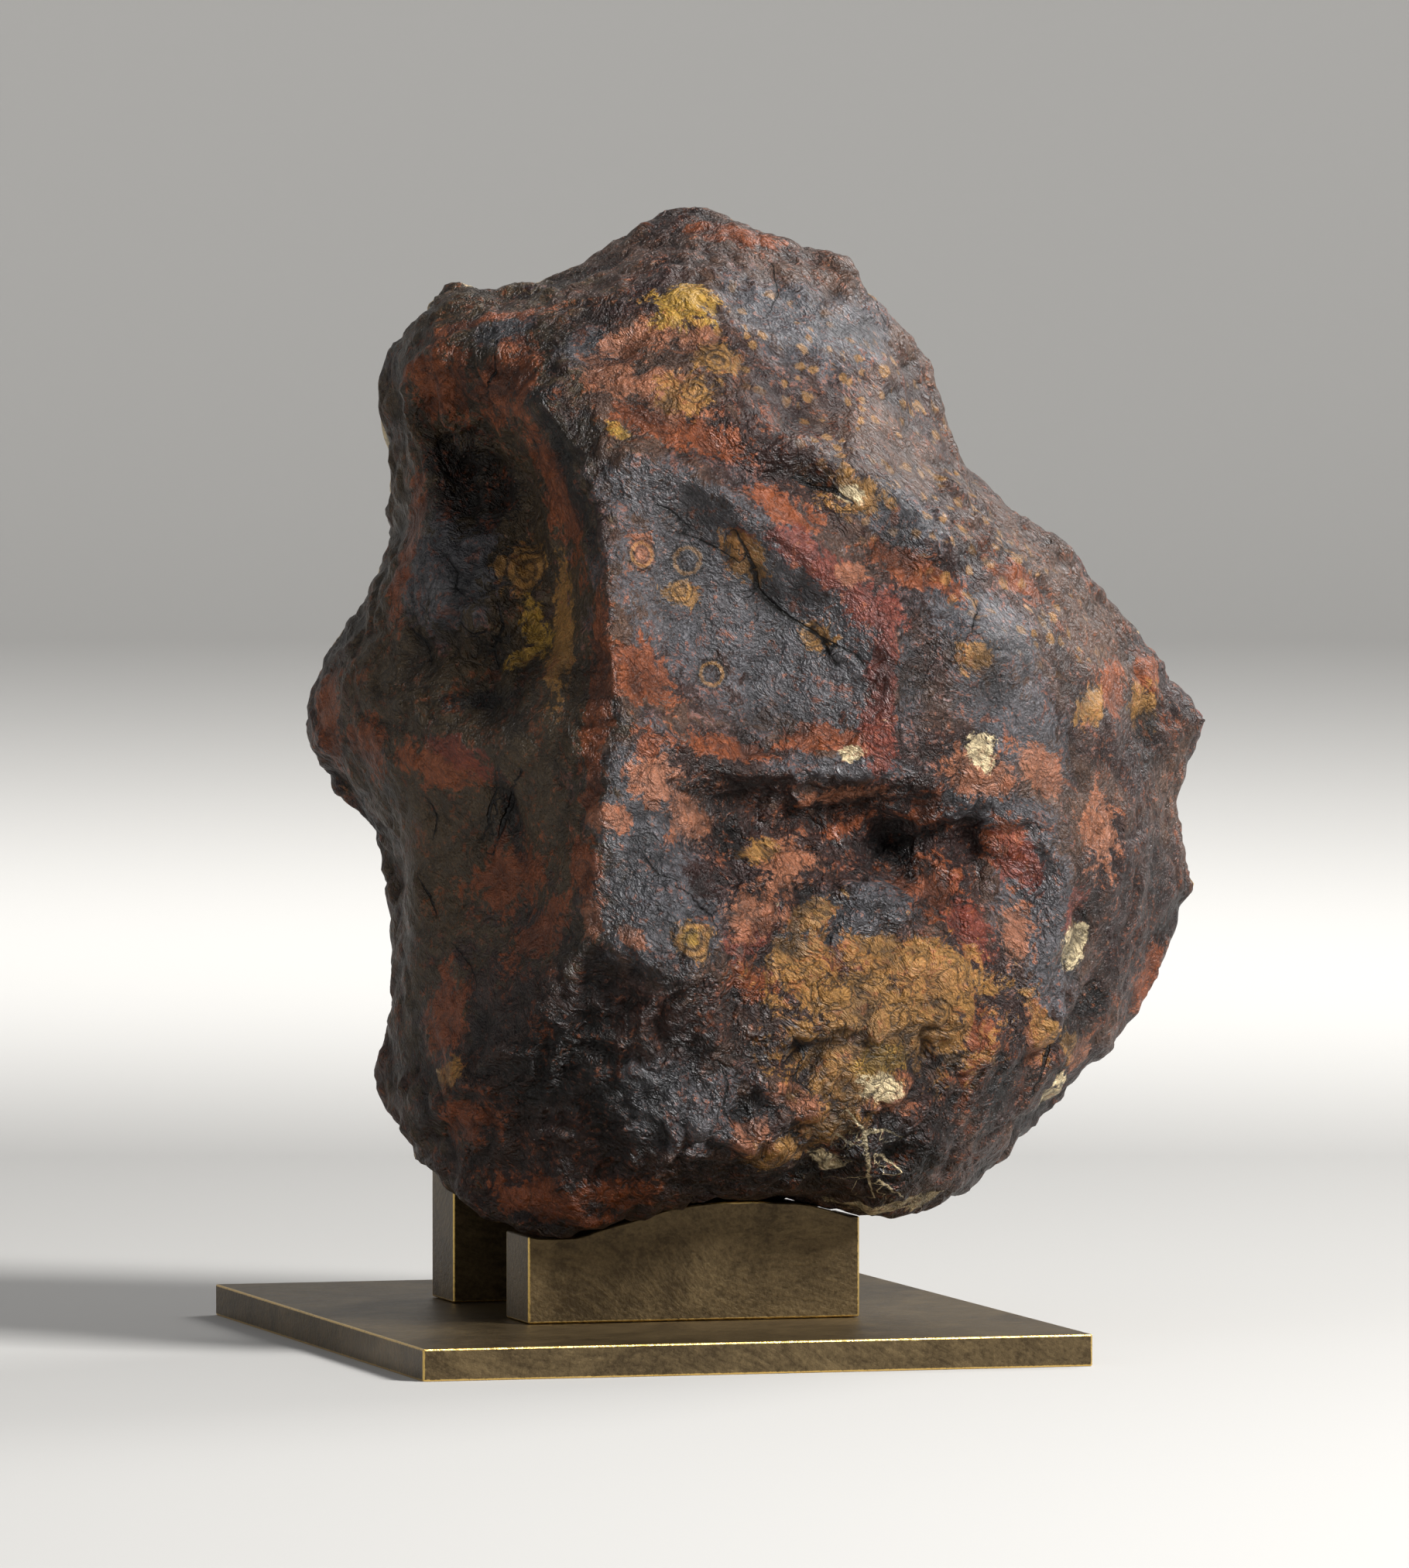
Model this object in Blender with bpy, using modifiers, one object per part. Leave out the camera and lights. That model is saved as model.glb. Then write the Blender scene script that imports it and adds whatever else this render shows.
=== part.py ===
"""An iron meteorite on its bronze stand.

The stone is one natural piece. It rests on two upright bronze supports that stand on a bronze plate. The top
of each support is cut to the line of the stone's underside.

The part's frame is in metres: +Z up, +X along the supports, +Y to the back, with the origin under the middle
of the plate, where the whole thing rests. The sizes below are in millimetres.
"""

import math

import bmesh
import bpy
from mathutils import Vector, noise
from mathutils.bvhtree import BVHTree

MM = 0.001

# The stand
PLATE_SIZE = (203.0, 254.0, 9.5)
PLATE_EDGE = 0.5
SUPPORT_LENGTH = 102.0
SUPPORT_THICKNESS = 25.4
SUPPORT_EDGE = 0.4
SUPPORT_MIDDLE = {"front_support": (1.5, -37.6), "rear_support": (0.5, 46.4)}
SEAT_GAP = 0.5
SEAT_STEP = 3.0
SEAT_ROWS = 17
FOOT_GAP = 0.3

# The stone is described as it is seen from its best side, turned a little to the left of the plate's front.
# A place on it is (across, up, out). Across and up are read where the line of sight crosses the upright plane
# through the middle of the plate, and out is how far nearer to the viewer the place lies.
VIEW_TURN = math.radians(15.6)
EYE = Vector((18.0, 350.0, 4290.0))
HEART = (34.0, 178.0, -34.0)

# Sharp crests of the stone, each with how sharply it is folded and the places along it
RIDGES = {
    "prow": (0.75, [
        (-36, 284, 60), (-28, 275, 73), (-19, 265, 80), (-15, 256, 84), (-12, 244, 88), (-10.5, 230, 91),
        (-10, 215, 93), (-10, 201, 95), (-8, 190, 97), (-9, 177, 99), (-12, 163, 100), (-13, 150, 101),
        (-16, 138, 101), (-17, 128, 100), (-17, 121, 100),
    ]),
    "left foot": (0.8, [
        (-17, 121, 100), (-25, 109.5, 96), (-33, 99, 91), (-42, 88, 84), (-50, 81, 77), (-57, 75, 69),
        (-64, 69, 58), (-70, 66, 44),
    ]),
    "grey tongue": (0.7, [
        (-17, 121, 100), (-9, 119.5, 103), (-2, 116, 105), (5, 111, 106), (13, 108.5, 106),
        (21, 109.5, 103), (27, 114, 98),
    ]),
    "chin": (0.6, [
        (-17, 121, 100), (-14, 108, 97), (-10, 93, 94), (-7, 78, 92), (-5, 65, 90), (-3, 53, 85),
        (1, 43, 76),
    ]),
    "waist": (0.7, [
        (-8, 190, 97), (-1, 187, 96), (7, 182, 94), (15, 177, 91), (25, 171.5, 88), (37, 170, 84),
        (50, 170.5, 80), (62, 170.5, 77), (72, 169.5, 75), (81, 165.5, 71), (90, 162.5, 67),
        (100, 162, 62), (110, 160.5, 58), (118, 155.5, 55), (124, 147.5, 53), (127, 138, 51),
        (126, 128, 51), (122.5, 118, 52), (119, 108, 52), (116, 98, 50),
    ]),
    "dish rim": (0.5, [
        (70, 223, 76), (73, 211, 77), (73.5, 200, 77), (74, 189, 76), (74, 179, 76), (72, 169.5, 75),
    ]),
    "fold": (0.7, [
        (-19, 265, 80), (-10, 268, 83), (-1, 265, 85), (9, 260.5, 86), (19, 257, 86), (29, 250, 85),
        (39, 243, 83), (49, 236.5, 81), (59, 230, 78), (70, 223, 76),
    ]),
    "ledge": (0.45, [
        (38, 267, 74), (48, 266, 73), (58, 262, 71), (69, 257, 68), (79, 250, 65), (89, 243, 61),
    ]),
    "top edge": (0.6, [
        (-67, 303, 10), (-59, 306, 22), (-48, 305.5, 34), (-36, 306, 42), (-24, 309, 44), (-12, 312.5, 44),
        (0, 317.5, 42), (8, 321, 38), (16, 328, 22),
    ]),
    "eye ledge": (0.75, [
        (-72, 197, 44), (-64, 195, 51), (-56, 190, 58), (-49, 188, 63), (-41, 191, 69), (-33, 196, 74),
        (-26, 203, 77),
    ]),
    "back crest": (0.5, [
        (10, 325, -40), (5, 300, -70), (0, 270, -88), (8, 240, -98), (20, 210, -104), (28, 180, -104),
        (30, 150, -102), (25, 120, -98), (15, 90, -88), (5, 68, -76),
    ]),
}

# Places between the crests, by the part of the stone that they shape
FIELDS = {
    "outline, from the peak down the right side": [
        (13, 340, -10), (24, 337, -8), (38, 331, -5), (50, 327.5, -4), (61, 323.5, -2), (67, 314, -4),
        (77, 304, -8), (82, 298, -10), (88, 284, -10), (91, 273, -8), (97.5, 260, -4), (104, 254, -2),
        (116, 245.5, 0), (126, 239.5, 0), (132, 230.5, -3), (141, 219, -9), (150, 209.5, -15),
        (156, 200, -20), (165, 190.5, -26), (166, 185, -26), (162, 174, -26), (159.5, 163, -26),
        (160, 152, -26), (163.5, 141, -27), (162, 131, -28), (153, 111, -27), (147, 100, -22),
        (142, 90, -14), (134, 84, -8), (127, 78, -4), (121, 69, 2), (110, 58, 12), (101, 49, 18),
        (94, 43.5, 24),
    ],
    "outline, along the foot to the left": [
        (86, 40, 30), (78, 38.5, 36), (71, 37.5, 38), (62, 39.5, 38), (53, 42, 42), (44, 44, 48),
        (34, 43.5, 55), (22, 43.5, 60), (10, 41, 64), (0, 38.5, 66), (-10, 35, 67), (-19, 32.5, 67),
        (-27, 31.5, 66), (-35, 32.5, 63), (-42, 35.5, 58), (-50, 40, 50), (-57, 44, 42), (-64, 51, 32),
        (-71, 61, 24),
    ],
    "outline, up the left side": [
        (-76, 69, 16), (-79, 77, 5), (-77, 92, 5), (-75.5, 105, 8), (-75, 118, 10), (-74, 131, 12),
        (-74, 144, 10), (-81, 152.5, -8), (-90, 163, -15), (-91, 169, -8), (-97, 172.5, -5),
        (-100, 180, -5), (-100.5, 188, -6), (-98, 198, -8), (-92, 211, -10), (-85, 221, -10),
        (-79, 231, -10), (-75.5, 240, -10), (-75.5, 254, -13), (-77, 270, -15), (-79.5, 287, -15),
        (-77, 296, -12), (-71, 301.5, -6), (-61, 313, -2), (-56, 316.5, -2), (-46, 315, 0),
        (-32, 317.5, 0), (-22, 321.5, -5), (-10, 328.5, -8), (4, 337, -10),
    ],
    "top": [
        (-46, 311, 18), (-30, 313, 22), (-15, 318, 22), (-4, 323, 18), (6, 331, 6), (20, 331, 14),
        (32, 324, 18), (46, 319, 18), (57, 316, 12),
    ],
    "shoulder above the left hollow": [
        (-72, 292, 14), (-64, 292, 31), (-55, 296, 39), (-44, 296, 48), (-71, 280, 19), (-54, 284, 40),
        (-45, 285, 48), (-34, 295, 55),
    ],
    "left hollow": [
        (-62, 279, 31), (-53, 274, 31), (-44, 274, 39), (-36, 273, 55), (-71, 267, 8), (-64, 267, 22),
        (-71, 253, 10), (-64, 253, 27), (-72, 241, 14), (-65, 240, 34), (-76, 228, 18), (-56, 264, 20),
        (-48, 263, 20), (-40, 262, 28), (-33, 262, 44), (-26, 260, 66), (-56, 251, 29), (-48, 250, 31),
        (-40, 250, 35), (-31, 249, 46), (-22, 247, 70), (-58, 237, 42), (-50, 236, 46), (-41, 236, 46),
        (-32, 235, 48), (-25, 233, 60), (-19, 233, 74), (-74, 219, 30), (-62, 221, 46), (-50, 221, 54),
        (-39, 220, 56), (-30, 216, 56), (-24, 214, 65), (-18, 213, 78), (-85, 209, 18), (-73, 207, 38),
        (-61, 207, 46), (-50, 205, 52), (-40, 206, 57), (-31, 208, 62), (-19, 200, 82),
    ],
    "left cheek": [
        (-91, 198, 14), (-95, 187, 10), (-86, 190, 28), (-78, 187, 40), (-94, 177, 10), (-85, 176, 28),
        (-77, 174, 42), (-68, 184, 54), (-57, 180, 64), (-46, 180, 72), (-34, 186, 79), (-22, 188, 87),
    ],
    "left flank": [
        (-67, 170, 53), (-55, 169, 62), (-42, 170, 72), (-28, 172, 84), (-18, 174, 93), (-73, 157, 40),
        (-62, 155, 52), (-50, 154, 61), (-38, 153, 70), (-26, 152, 84), (-71, 140, 40), (-60, 138, 52),
        (-48, 137, 62), (-36, 136, 73), (-26, 136, 86), (-70, 122, 42), (-59, 120, 55), (-46, 120, 67),
        (-32, 118, 83), (-70, 104, 42), (-59, 103, 59), (-46, 103, 74), (-73, 88, 34), (-62, 88, 58),
        (-74, 76, 28),
    ],
    "dark facet under the left foot": [
        (-64, 59, 44), (-56, 64, 60), (-53, 52, 56), (-45, 71, 75), (-41, 57, 69), (-38, 44, 64),
        (-32, 80, 84), (-28, 64, 79), (-26, 47, 73), (-24, 94, 91), (-19, 78, 87), (-15, 58, 82),
        (-12, 44, 74),
    ],
    "dish": [
        (4, 249, 83), (16, 245, 80), (6, 232, 82), (24, 232, 77), (38, 229, 76), (5, 216, 82),
        (21, 216, 76), (37, 214, 73), (52, 215, 73), (63, 213, 75), (6, 200, 84), (22, 199, 77),
        (36, 198, 73), (50, 198, 72), (62, 197, 73), (12, 188, 87), (24, 184, 81), (38, 183, 76),
        (52, 183, 74), (64, 183, 74),
    ],
    "band above the fold": [
        (-24, 296, 60), (-12, 289, 68), (-22, 284, 71), (0, 276, 77), (14, 270, 76), (28, 262, 74),
        (42, 254, 72), (56, 246, 70), (70, 238, 69), (83, 231, 66),
    ],
    "upper field": [
        (-12, 303, 54), (2, 302, 58), (2, 288, 68), (16, 300, 58), (16, 284, 69), (28, 310, 44),
        (30, 296, 57), (28, 276, 72), (42, 306, 42), (44, 292, 52), (42, 279, 63), (56, 301, 38),
        (58, 288, 44), (56, 275, 56), (64, 312, 12), (70, 300, 22), (72, 285, 32), (70, 270, 52),
        (82, 283, 12), (84, 268, 30), (84, 258, 44), (95, 252, 38), (92, 262, 20),
    ],
    "right field": [
        (97, 233, 56), (105, 245, 28), (110, 236, 40), (120, 236, 20), (84, 219, 70), (98, 221, 62),
        (112, 222, 48), (126, 224, 24), (138, 213, 8), (86, 206, 72), (97, 209, 71), (107, 206, 66),
        (119, 209, 50), (131, 208, 30), (144, 204, 4), (88, 192, 72), (100, 193, 67), (112, 192, 60),
        (124, 192, 48), (137, 194, 30), (151, 196, -2), (88, 179, 72), (100, 178, 66), (112, 176, 59),
        (124, 176, 49), (137, 182, 34), (148, 174, 16), (158, 182, -8), (94, 169, 67), (107, 168, 61),
        (120, 164, 53), (133, 163, 40), (146, 161, 20), (154, 163, -2), (134, 151, 41), (143, 149, 28),
        (152, 150, 6), (137, 136, 38), (147, 135, 20), (155, 135, -2), (133, 124, 39), (143, 121, 20),
        (151, 121, -4), (130, 112, 38), (141, 107, 16),
    ],
    "rough hollow under the waist": [
        (0, 172, 97), (10, 169, 91), (24, 163, 80), (40, 162, 73), (55, 161, 69), (68, 160, 65),
        (80, 157, 60), (92, 154, 56), (103, 152, 53), (113, 147, 51), (-1, 158, 99), (12, 156, 93),
        (25, 152, 82), (42, 150, 74), (57, 150, 67), (71, 148, 61), (86, 146, 57), (99, 141, 53),
        (115, 135, 50), (-3, 143, 101), (8, 141, 99), (20, 138, 92), (34, 138, 86), (48, 137, 80),
        (62, 138, 72), (76, 137, 66), (88, 134, 61), (104, 130, 53), (-6, 130, 103), (8, 125, 104),
        (19, 123, 101), (32, 124, 90), (46, 124, 84), (60, 126, 78), (75, 126, 72), (90, 122, 66),
        (106, 117, 57),
    ],
    "pitted foot": [
        (36, 111, 88), (50, 110, 83), (64, 110, 79), (78, 110, 75), (92, 108, 68), (106, 104, 56),
        (4, 99, 98), (18, 97, 95), (33, 97, 91), (48, 96, 87), (62, 95, 82), (73, 94, 77), (84, 96, 72),
        (95, 93, 65), (106, 90, 56), (6, 82, 95), (20, 81, 92), (34, 82, 89), (48, 82, 85), (62, 82, 80),
        (76, 82, 73), (90, 80, 64), (103, 78, 53), (114, 85, 43), (8, 65, 91), (20, 65, 89), (33, 64, 87),
        (46, 67, 82), (58, 67, 77), (71, 69, 71), (84, 66, 63), (97, 65, 51), (109, 68, 34), (10, 51, 83),
        (22, 52, 80), (34, 52, 77), (46, 53, 70), (57, 52, 64), (69, 51, 62), (81, 51, 56), (92, 53, 42),
    ],
    "lower right corner": [
        (123, 94, 42), (131, 98, 32), (138, 96, 14), (122, 82, 34), (131, 88, 20), (116, 74, 28),
    ],
    "underside": [
        (-48, 44, 28), (-22, 38, 34), (4, 42, 34), (30, 44, 28), (54, 42, 18), (76, 42, 10), (96, 50, 2),
        (-60, 56, 4), (-52, 52, -8), (-26, 46, -4), (2, 44, -4), (30, 45, -6), (58, 45, -10),
        (84, 50, -14), (106, 62, -12), (-48, 56, -34), (-20, 50, -38), (8, 48, -40), (36, 48, -40),
        (64, 52, -40), (90, 60, -36), (-28, 62, -60), (28, 58, -70), (54, 62, -66), (80, 68, -56),
    ],
    "back, left of the crest": [
        (-20, 306, -48), (-40, 300, -34), (-64, 300, -26), (-22, 272, -62), (-45, 275, -46),
        (-66, 272, -38), (-20, 242, -70), (-45, 245, -50), (-66, 243, -34), (-18, 212, -78),
        (-45, 215, -58), (-72, 213, -46), (-15, 182, -86), (-45, 186, -72), (-76, 190, -56),
        (-92, 188, -32), (-15, 152, -90), (-45, 155, -74), (-72, 160, -52), (-18, 122, -88),
        (-44, 124, -74), (-64, 126, -50), (-20, 94, -80), (-44, 96, -64), (-64, 96, -38), (-48, 72, -46),
        (-66, 74, -18),
    ],
    "back, right of the crest": [
        (36, 312, -44), (60, 304, -36), (38, 282, -68), (64, 278, -52), (80, 275, -34), (42, 250, -80),
        (68, 248, -64), (94, 246, -36), (50, 218, -92), (80, 216, -78), (110, 224, -50), (134, 212, -36),
        (58, 186, -98), (88, 184, -92), (118, 190, -74), (146, 190, -50), (58, 154, -96), (88, 152, -84),
        (118, 152, -76), (146, 156, -52), (54, 122, -92), (84, 120, -78), (112, 122, -70), (138, 124, -50),
        (48, 94, -84), (76, 92, -70), (102, 94, -60), (126, 98, -38), (104, 74, -34),
    ],
}

# Small pits and knobs on the side that is seen: where (across, up), half length, half width, the turn of the
# length from level, and how deep, with a knob's depth below zero
DENTS = {
    "rusty socket": ((150, 186), 9, 6, 55, 6),
    "socket brow": ((145, 192), 9, 4, 50, -2),
    "pocket under the ledge": ((52, 256), 11, 6, -30, 4),
    "pale lump by the pocket": ((63, 253), 6, 5, 0, -2),
    "hump on the right field": ((103, 209), 12, 9, 20, -3),
    "slot in the hollow": ((74, 147), 9, 6, 80, 6),
    "rusty knob in the hollow": ((85, 158), 8, 7, 0, -4),
    "knob right of it": ((103, 150), 7, 7, 0, -3),
    "pit between the knobs": ((96, 150), 6, 6, 0, 4),
    "pit in the lower right": ((134, 102), 9, 7, 30, 7),
    "small pit on the ear": ((131, 127), 6, 6, 0, 3),
    "hollow in the ochre field": ((88, 86), 12, 9, 60, 5),
    "grey oval": ((66, 96), 8, 12, 90, -3),
    "ochre knob": ((90, 95), 8, 7, 0, -3),
    "round salmon boss": ((33, 60), 7, 7, 0, -3),
    "dark pit over the boss": ((30, 69), 7, 6, 0, 3),
    "salmon lump": ((42, 141), 12, 9, 40, -3),
    "second salmon lump": ((33, 126), 10, 8, 0, -4),
    "grey shelf": ((72, 131), 15, 6, 10, -4),
    "trough under the shelf": ((74, 121), 15, 6, 5, 3),
    "orange spot on the tongue": ((15, 120), 6, 6, 0, -2),
    "glossy lobe": ((66, 57), 9, 7, 0, -4),
    "second glossy lobe": ((86, 58), 9, 8, 0, -4),
    "hole between the lobes": ((76, 55), 5, 9, 90, 5),
    "hole by the notch": ((52, 55), 7, 5, 30, 4),
    "ochre cleft": ((122, 87), 10, 5, 60, 4),
    "lip beside the cleft": ((114, 88), 12, 4, 65, -2),
    "eye of the left hollow": ((-51, 262), 12, 8, 0, 4),
    "ochre boss": ((-36, 231), 8, 8, 0, -3),
    "groove in the left flank": ((-41, 158), 15, 4, 108, 4),
    "second groove": ((-49, 150), 12, 4, 112, 3),
    "knob on the prow": ((-29, 281), 8, 7, 0, -3),
    "yellow spot": ((12, 310), 9, 9, 0, -2),
    "hollow left of the yellow spot": ((-8, 300), 14, 9, 30, 4),
    "hollow under the peak": ((40, 309), 16, 9, 0, 3),
    "hollow over the ledge": ((48, 277), 14, 7, -20, 3),
    "hollow on the chin's left": ((-35, 62), 12, 8, 20, 2),
    "lump on the left foot": ((-48, 62), 9, 7, 0, -4),
    "lump low on the left": ((-22, 46), 12, 7, 0, -3),
    "pit on the chin": ((12, 88), 8, 6, 0, 3),
    "pit right of the chin": ((47, 84), 9, 6, 30, 4),
    "lump under the tongue": ((20, 88), 9, 7, 0, -3),
}

# The thumbprint hollows of the side that isn't seen, looking at it through the stone from the same place
BACK_DENTS = {
    "wide hollow by the top": ((-22, 285), 24, 18, 20, 7),
    "hollow under it": ((-42, 238), 22, 17, 60, 7),
    "left middle hollow": ((-48, 190), 20, 15, 80, 5),
    "low left hollow": ((-42, 130), 24, 18, 100, 7),
    "left foot hollow": ((-30, 88), 16, 12, 30, 5),
    "hollow right of the top": ((48, 288), 22, 15, 160, 6),
    "right upper hollow": ((72, 238), 26, 18, 150, 7),
    "right middle hollow": ((62, 176), 25, 19, 70, 8),
    "hollow by the socket": ((118, 200), 19, 14, 140, 5),
    "right low hollow": ((100, 140), 24, 16, 110, 7),
    "hollow over the foot": ((62, 106), 20, 15, 20, 6),
    "small hollow on the crest": ((14, 158), 14, 11, 60, 4),
    "second hollow on the crest": ((8, 232), 15, 10, 90, 4),
    "hollow low on the right": ((108, 96), 14, 10, 40, 4),
}

FIT_ROUNDS = 5
FIT_SHARE = 0.8
DENT_EDGE = 1.4
STONE_TRIANGLES = 8600
GRAIN_SIZE = 14.0
GRAIN_HEIGHT = 0.7


def seen(place):
    """The point of the part's frame that stands for a place on the stone."""
    across, up, out = place
    middle = Vector((across, up, 0.0))
    point = middle + (EYE - middle) * (out / EYE.z)
    right = Vector((math.cos(VIEW_TURN), -math.sin(VIEW_TURN), 0.0))
    towards = Vector((-math.sin(VIEW_TURN), -math.cos(VIEW_TURN), 0.0))
    return (right * point.x + Vector((0, 0, 1)) * point.y + towards * point.z) * MM


def clear_scene():
    for item in list(bpy.data.objects):
        bpy.data.objects.remove(item)


def metal(name, colour, roughness, metallic):
    material = bpy.data.materials.new(name)
    material.use_nodes = True
    surface = material.node_tree.nodes["Principled BSDF"]
    surface.inputs["Base Color"].default_value = (*colour, 1.0)
    surface.inputs["Roughness"].default_value = roughness
    surface.inputs["Metallic"].default_value = metallic
    return material


def add_object(name, mesh, material, collection):
    item = bpy.data.objects.new(name, mesh)
    item.data.materials.append(material)
    collection.objects.link(item)
    return item


def evaluated_mesh(item):
    graph = bpy.context.evaluated_depsgraph_get()
    return item.evaluated_get(graph).data


def stone_cage(places):
    """The coarse cage: the places, joined as they are seen from the stone's heart, with its crests creased."""
    heart = seen(HEART)
    index = {place: number for number, place in enumerate(places)}
    bm = bmesh.new()
    for place in places:
        bm.verts.new((seen(place) - heart).normalized())
    bmesh.ops.convex_hull(bm, input=bm.verts)
    bm.verts.ensure_lookup_table()
    crease = bm.edges.layers.float.new("crease_edge")
    for sharpness, line in RIDGES.values():
        for start, end in zip(line, line[1:]):
            edge = bm.edges.get((bm.verts[index[start]], bm.verts[index[end]]))
            edge[crease] = sharpness
    for vert, place in zip(bm.verts, places):
        vert.co = seen(place)
    mesh = bpy.data.meshes.new("meteorite")
    bm.to_mesh(mesh)
    bm.free()
    return mesh


def fit_to_places(item, places):
    """Moves the cage until the smooth surface passes through the places."""
    for _ in range(FIT_ROUNDS):
        shape = evaluated_mesh(item)
        for vert, place in zip(item.data.vertices, places):
            vert.co += (seen(place) - shape.vertices[vert.index].co) * FIT_SHARE
        item.data.update()
        bpy.context.view_layer.update()


def add_dents(mesh, dents, eye):
    """Presses the pits into the side that faces the eye, and raises the knobs."""
    tree = surface_tree(mesh)
    moves = [Vector() for _ in mesh.vertices]
    for (across, up), half_length, half_width, turn, depth in dents.values():
        middle = seen((across, up, 0.0))
        point, normal, _, _ = tree.ray_cast(eye, (middle - eye).normalized())
        level = Vector((0, 0, 1)).cross(normal).normalized()
        steep = normal.cross(level)
        angle = math.radians(turn)
        along = level * math.cos(angle) + steep * math.sin(angle)
        over = normal.cross(along)
        for vert in mesh.vertices:
            offset = vert.co - point
            if offset.length > 2 * half_length * MM or vert.normal.dot(normal) < 0:
                continue
            reach = math.hypot(offset.dot(along) / half_length, offset.dot(over) / half_width) / MM
            moves[vert.index] -= normal * depth * MM * math.exp(-DENT_EDGE * reach ** 2)
    for vert, move in zip(mesh.vertices, moves):
        vert.co += move


def roughen(mesh):
    """Low bumps all over, because no face of the stone is smooth."""
    for vert in mesh.vertices:
        height = noise.fractal(vert.co / (GRAIN_SIZE * MM), 0.9, 2.0, 3)
        vert.co += vert.normal * height * GRAIN_HEIGHT * MM


def make_meteorite(collection):
    places = list(dict.fromkeys(
        [place for _, line in RIDGES.values() for place in line]
        + [place for group in FIELDS.values() for place in group]
    ))
    surface = metal("iron with brown crust", (0.11, 0.075, 0.055), 0.5, 0.35)
    cage = add_object("meteorite", stone_cage(places), surface, collection)
    smooth = cage.modifiers.new("smooth", "SUBSURF")
    smooth.levels = 2
    smooth.render_levels = 2
    fit_to_places(cage, places)
    mesh = bpy.data.meshes.new_from_object(cage.evaluated_get(bpy.context.evaluated_depsgraph_get()))
    bpy.data.objects.remove(cage)
    add_dents(mesh, DENTS, seen(EYE))
    add_dents(mesh, BACK_DENTS, seen((EYE.x, HEART[1], -EYE.z)))
    roughen(mesh)
    stone = add_object("meteorite", mesh, surface, collection)
    triangles = stone.modifiers.new("triangles", "TRIANGULATE")
    triangles.quad_method = "SHORTEST_DIAGONAL"
    fewer = stone.modifiers.new("fewer faces where it is flat", "DECIMATE")
    fewer.ratio = STONE_TRIANGLES / (2 * len(mesh.polygons))
    bpy.context.view_layer.update()
    return stone


def make_base_plate(surface, collection):
    mesh = bpy.data.meshes.new("base_plate")
    bm = bmesh.new()
    bmesh.ops.create_cube(bm, size=1.0)
    bmesh.ops.scale(bm, vec=Vector(PLATE_SIZE) * MM, verts=bm.verts)
    bm.to_mesh(mesh)
    bm.free()
    plate = add_object("base_plate", mesh, surface, collection)
    plate.location.z = PLATE_SIZE[2] * MM / 2
    edge = plate.modifiers.new("worn edges", "BEVEL")
    edge.width = PLATE_EDGE * MM
    edge.segments = 2
    return plate


def surface_tree(mesh):
    return BVHTree.FromPolygons([vert.co for vert in mesh.vertices], [face.vertices for face in mesh.polygons])


def seat_heights(stone, middle_x, middle_y):
    """How high a support may reach under the stone, at stations along its length."""
    tree = surface_tree(evaluated_mesh(stone))
    stations = round(SUPPORT_LENGTH / SEAT_STEP)
    half_step = SUPPORT_LENGTH / stations / 2
    rows = [middle_y + SUPPORT_THICKNESS * (row / (SEAT_ROWS - 1) - 0.5) for row in range(SEAT_ROWS)]
    lowest = []
    for number in range(-2, 2 * stations + 3):
        x = middle_x - SUPPORT_LENGTH / 2 + number * half_step
        hits = [tree.ray_cast(Vector((x * MM, y * MM, 0)), Vector((0, 0, 1)))[0] for y in rows]
        lowest.append(min(hit.z / MM for hit in hits if hit))
    return [min(lowest[2 * station:2 * station + 5]) - SEAT_GAP for station in range(stations + 1)]


def make_support(name, stone, surface, collection):
    """An upright slab whose top follows the stone's underside."""
    middle_x, middle_y = SUPPORT_MIDDLE[name]
    heights = seat_heights(stone, middle_x, middle_y)
    foot = PLATE_SIZE[2] + FOOT_GAP
    mesh = bpy.data.meshes.new(name)
    bm = bmesh.new()
    start = -SUPPORT_LENGTH / 2
    step = SUPPORT_LENGTH / (len(heights) - 1)
    outline = [(start, foot)]
    outline += [(start + step * number, height) for number, height in enumerate(heights)]
    outline += [(-start, foot)]
    front = [bm.verts.new((x * MM, -SUPPORT_THICKNESS * MM / 2, z * MM)) for x, z in outline]
    face = bm.faces.new(front)
    grown = bmesh.ops.extrude_face_region(bm, geom=[face])
    back = [item for item in grown["geom"] if isinstance(item, bmesh.types.BMVert)]
    bmesh.ops.translate(bm, vec=(0, SUPPORT_THICKNESS * MM, 0), verts=back)
    bmesh.ops.recalc_face_normals(bm, faces=bm.faces)
    bm.to_mesh(mesh)
    bm.free()
    support = add_object(name, mesh, surface, collection)
    support.location = (middle_x * MM, middle_y * MM, 0)
    edge = support.modifiers.new("worn edges", "BEVEL")
    edge.width = SUPPORT_EDGE * MM
    edge.segments = 1
    edge.limit_method = "ANGLE"
    edge.angle_limit = math.radians(50)
    return support


def main():
    clear_scene()
    collection = bpy.data.collections.new("meteorite on its stand")
    bpy.context.scene.collection.children.link(collection)
    stone = make_meteorite(collection)
    bronze = metal("aged bronze", (0.23, 0.175, 0.09), 0.42, 0.85)
    make_base_plate(bronze, collection)
    for name in SUPPORT_MIDDLE:
        make_support(name, stone, bronze, collection)


main()
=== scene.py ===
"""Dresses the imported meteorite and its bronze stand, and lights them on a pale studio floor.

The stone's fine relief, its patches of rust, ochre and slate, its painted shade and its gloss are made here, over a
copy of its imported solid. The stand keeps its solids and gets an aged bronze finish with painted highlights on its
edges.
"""

import math

import bmesh
import bpy
import numpy as np
from bpy.props import FloatProperty, FloatVectorProperty, PointerProperty
from mathutils import Matrix, Vector, noise
from mathutils.bvhtree import BVHTree


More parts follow.
